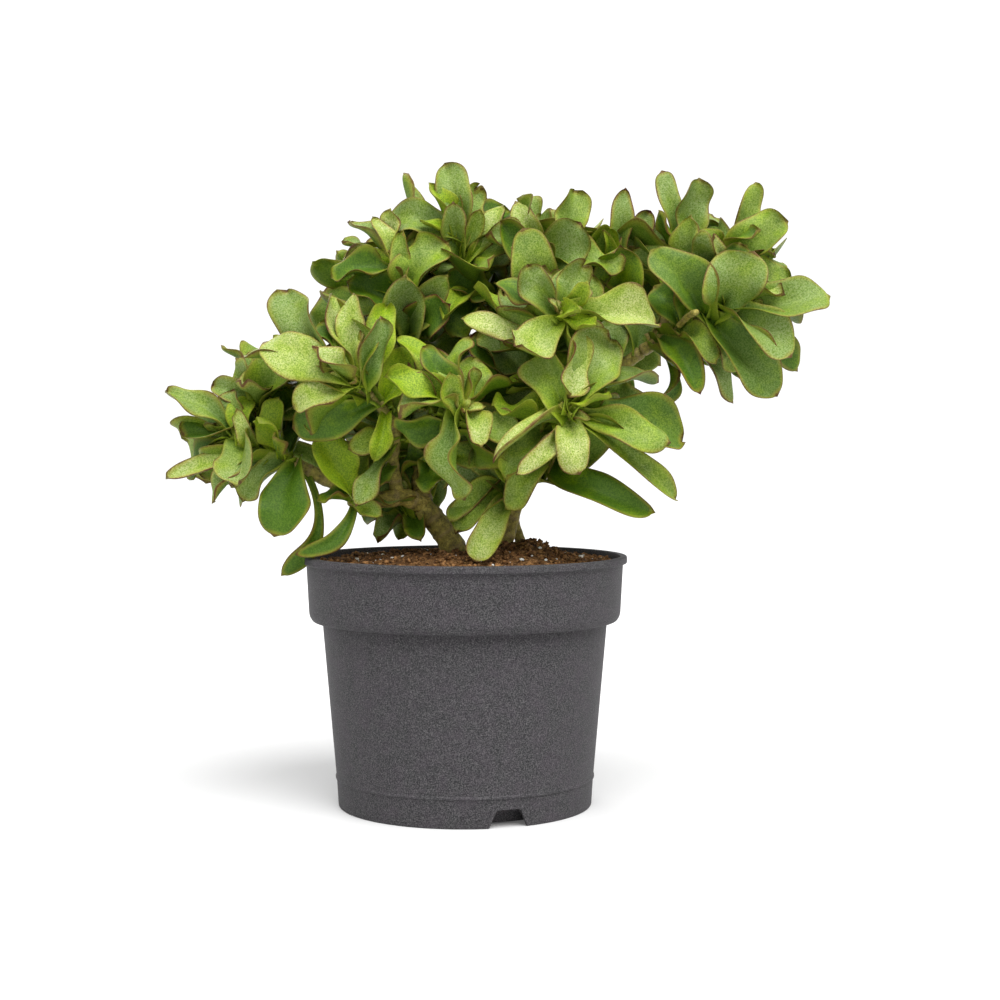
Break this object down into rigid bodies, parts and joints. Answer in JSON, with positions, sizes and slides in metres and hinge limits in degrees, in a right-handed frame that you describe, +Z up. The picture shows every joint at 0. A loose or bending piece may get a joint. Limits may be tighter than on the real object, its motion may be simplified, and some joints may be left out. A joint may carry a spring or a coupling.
{
  "type": "potted jade plant",
  "caption": "Bushy ripple-leaf jade plant with wavy paired succulent leaves on woody stems, rooted in peat soil in a tapered grey nursery pot with a collar and drain notches.",
  "frame": {"origin": "on the ground under the middle of the whole plant; the pot's axis is 15 mm to the left of it and 6 mm in front of it", "axes": "+Z up, +X to the right as seen from the front, -Y to the front"},
  "size_m": [0.337, 0.1806, 0.3363],
  "materials": {
    "pot_plastic": "fine matt grain, dark grey with a slight warm mottle",
    "peat_soil": "rough crumbly brown peat with white perlite grains",
    "bark": "olive-brown bark with ring-shaped leaf scars",
    "shoot": "smooth green to orange-brown fleshy shoot with its leaves",
    "leaf": "smooth fleshy leaf with a pale waxy bloom, fine dark speckles and a thin maroon rim"
  },
  "bodies": {
    "root": {"branch_crown": "bark", "branch_crown_left": "bark", "branch_far_right": "bark", "branch_low_left": "bark", "leaf_back_right_broad": "leaf", "leaf_centre_pink_tip": "leaf", "leaf_centre_round": "leaf", "leaf_centre_tall": "leaf", "leaf_crown_tall": "leaf", "leaf_crown_wide": "leaf", "leaf_far_right_fold": "leaf", "leaf_far_right_low": "leaf", "leaf_far_right_round": "leaf", "leaf_far_right_tip": "leaf", "leaf_far_right_top": "leaf", "leaf_front_twisted": "leaf", "leaf_front_wavy": "leaf", "leaf_left_hanging": "leaf", "leaf_left_pale": "leaf", "leaf_left_spoon": "leaf", "leaf_left_wavy": "leaf", "leaf_low_right_long": "leaf", "leaf_low_right_upper": "leaf", "leaf_right_broad": "leaf", "leaf_right_pink_rim": "leaf", "leaf_rim_front": "leaf", "leaf_rim_left_long": "leaf", "leaf_top_left_broad": "leaf", "pot": "pot_plastic", "shoot_back_crown": "shoot", "shoot_back_crown_left": "shoot", "shoot_back_far_left": "shoot", "shoot_back_far_right": "shoot", "shoot_back_left": "shoot", "shoot_back_low": "shoot", "shoot_back_middle": "shoot", "shoot_back_right": "shoot", "shoot_back_right_low": "shoot", "shoot_centre_front": "shoot", "shoot_crown": "shoot", "shoot_crown_left": "shoot", "shoot_crown_right": "shoot", "shoot_far_right": "shoot", "shoot_far_right_back": "shoot", "shoot_far_right_upper": "shoot", "shoot_front": "shoot", "shoot_left": "shoot", "shoot_left_front": "shoot", "shoot_left_upper": "shoot", "shoot_low_centre": "shoot", "shoot_low_front": "shoot", "shoot_low_left": "shoot", "shoot_right_back": "shoot", "shoot_right_front": "shoot", "soil": "peat_soil", "stub_dried": "bark", "stub_pruned": "bark", "trunk_left": "bark", "trunk_right": "bark"}
  },
  "joints": []
}
